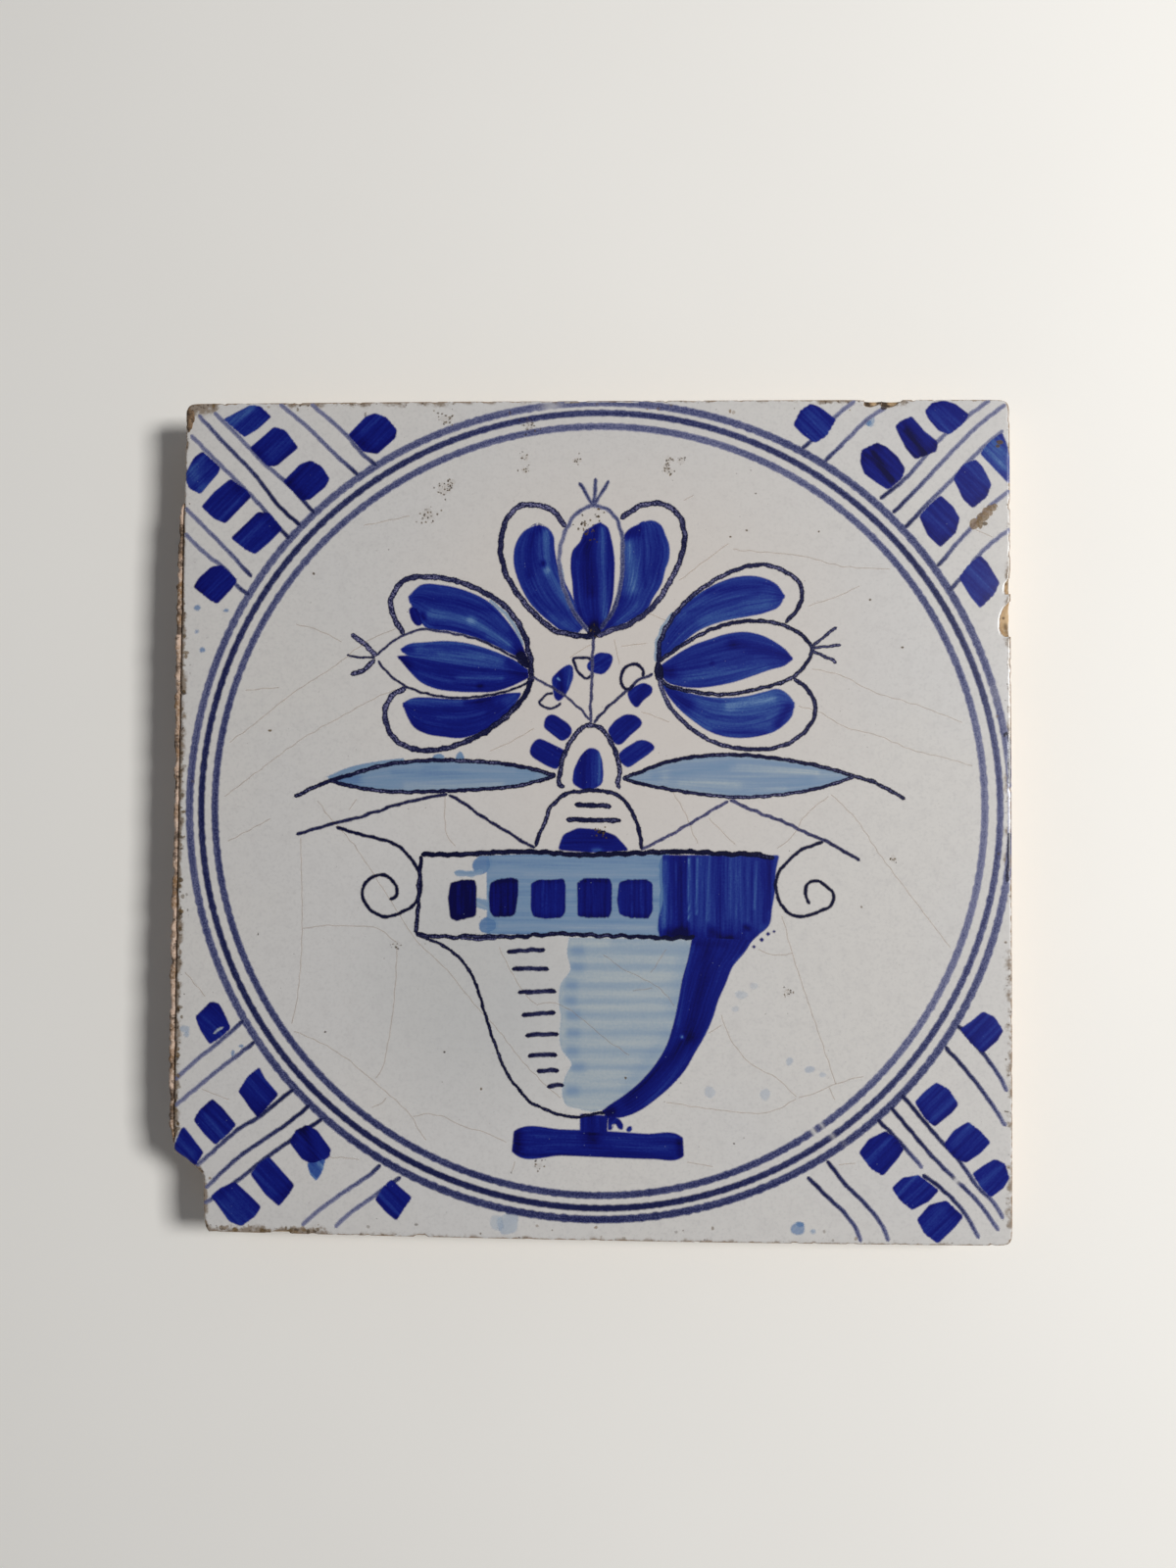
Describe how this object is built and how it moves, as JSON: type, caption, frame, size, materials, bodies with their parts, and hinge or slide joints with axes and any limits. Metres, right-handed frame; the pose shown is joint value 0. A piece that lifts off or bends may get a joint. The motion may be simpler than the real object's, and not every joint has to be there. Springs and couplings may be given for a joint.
{
  "type": "painted wall tile",
  "caption": "Square tin-glazed earthenware wall tile with a cobalt blue painted flower vase inside rings, one corner broken off.",
  "frame": {"origin": "under the middle of the whole part, on the plane that the tile's back rests on", "axes": "+Z out of the painted face, +Y towards the top of the picture, +X to its right"},
  "size_m": [0.1312, 0.131, 0.0093],
  "materials": {
    "biscuit": "matt, porous",
    "glaze": "glossy, finely crazed",
    "mortar": "matt, crumbly",
    "grime": "matt",
    "ring_paint": "glossy, soft edged",
    "outline_paint": "glossy, granular",
    "cobalt_paint": "glossy, streaked",
    "thin_wash": "glossy, pale"
  },
  "bodies": {
    "root": {"biscuit_body": "biscuit", "tin_glaze": "glaze", "mortar_left_side": "mortar", "mortar_top_left_corner": "grime", "outer_ring_and_corners": "ring_paint", "middle_ring": "ring_paint", "inner_ring": "ring_paint", "vase_outline": "outline_paint", "dome_outline": "outline_paint", "bud_outline": "outline_paint", "top_tulip_outline": "outline_paint", "left_tulip_outline": "outline_paint", "right_tulip_outline": "outline_paint", "stems": "outline_paint", "left_leaf_outline": "outline_paint", "right_leaf_outline": "outline_paint", "left_branch": "outline_paint", "left_scroll": "outline_paint", "right_branch": "outline_paint", "bowl_hatch_1": "outline_paint", "bowl_hatch_2": "outline_paint", "bowl_hatch_3": "outline_paint", "bowl_hatch_4": "outline_paint", "bowl_hatch_5": "outline_paint", "bowl_hatch_6": "outline_paint", "bowl_hatch_7": "outline_paint", "bowl_hatch_8": "outline_paint", "dome_dash_upper": "outline_paint", "dome_dash_lower": "outline_paint", "rim_block_1": "cobalt_paint", "rim_block_2": "cobalt_paint", "rim_block_3": "cobalt_paint", "rim_block_4": "cobalt_paint", "rim_block_5": "cobalt_paint", "top_tulip_petal_left": "cobalt_paint", "top_tulip_petal_middle": "cobalt_paint", "top_tulip_petal_right": "cobalt_paint", "left_tulip_petal_upper": "cobalt_paint", "left_tulip_petal_middle": "cobalt_paint", "left_tulip_petal_lower": "cobalt_paint", "right_tulip_petal_upper": "cobalt_paint", "right_tulip_petal_middle": "cobalt_paint", "right_tulip_petal_lower": "cobalt_paint", "stem_knot_left": "cobalt_paint", "stem_knot_middle": "cobalt_paint", "stem_knot_right": "cobalt_paint", "leaflet_upper_left": "cobalt_paint", "leaflet_lower_left": "cobalt_paint", "leaflet_upper_right": "cobalt_paint", "leaflet_lower_right": "cobalt_paint", "bud": "cobalt_paint", "dome_fill": "cobalt_paint", "vase_shade": "cobalt_paint", "foot": "cobalt_paint", "left_leaf_wash": "thin_wash", "right_leaf_wash": "thin_wash", "rim_wash": "thin_wash", "bowl_wash": "thin_wash"}
  },
  "joints": []
}
